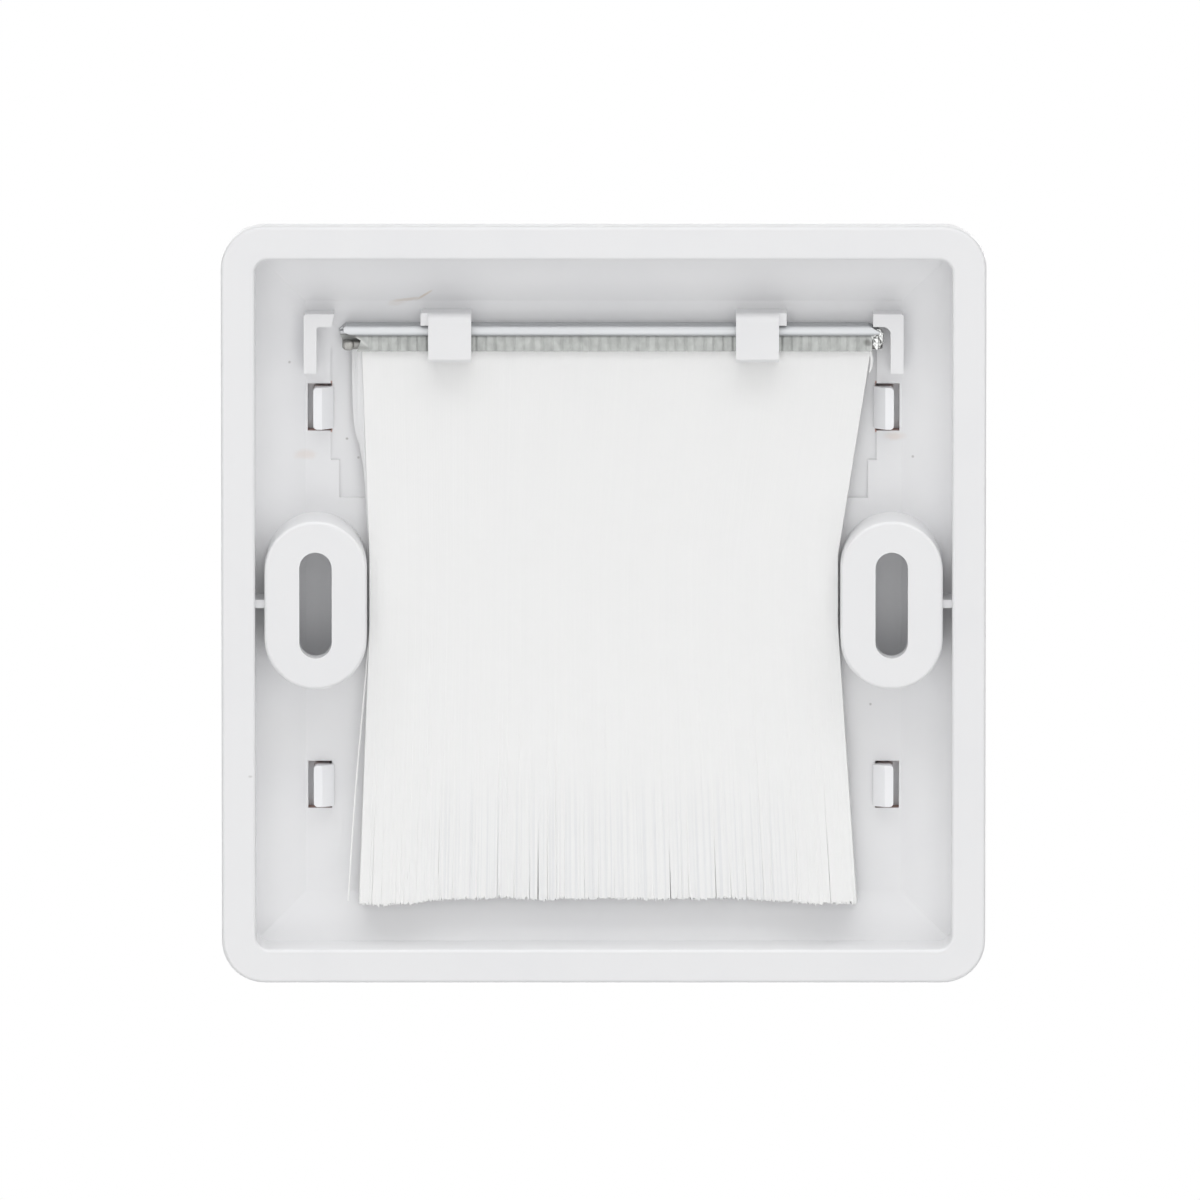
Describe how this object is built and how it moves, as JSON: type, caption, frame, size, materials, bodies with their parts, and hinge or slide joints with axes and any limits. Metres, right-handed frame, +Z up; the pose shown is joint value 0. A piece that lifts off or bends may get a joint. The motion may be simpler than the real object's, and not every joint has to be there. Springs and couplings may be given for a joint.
{
  "type": "brush wall plate",
  "caption": "Square wall plate that passes cables through a strip brush: a tray-shaped back frame with slotted screw bosses, and a clipped cover with a wide opening.",
  "frame": {"origin": "centre of the plate on the plane of the rear rim, midway between the two screw slots", "axes": "+Z up as mounted, +Y towards the wall, out of the rear rim, +X across the plate"},
  "size_m": [0.08, 0.011, 0.08],
  "materials": {
    "frame_plastic": "satin moulded white",
    "cover_plastic": "satin moulded white",
    "channel_steel": "bright galvanised, dull where crimped",
    "wire_steel": "drawn wire",
    "bristle_nylon": "fine white filament"
  },
  "bodies": {
    "root": {"back_frame": "frame_plastic", "front_cover": "cover_plastic", "brush_channel": "channel_steel", "core_wire": "wire_steel", "bristles": "bristle_nylon"}
  },
  "joints": []
}
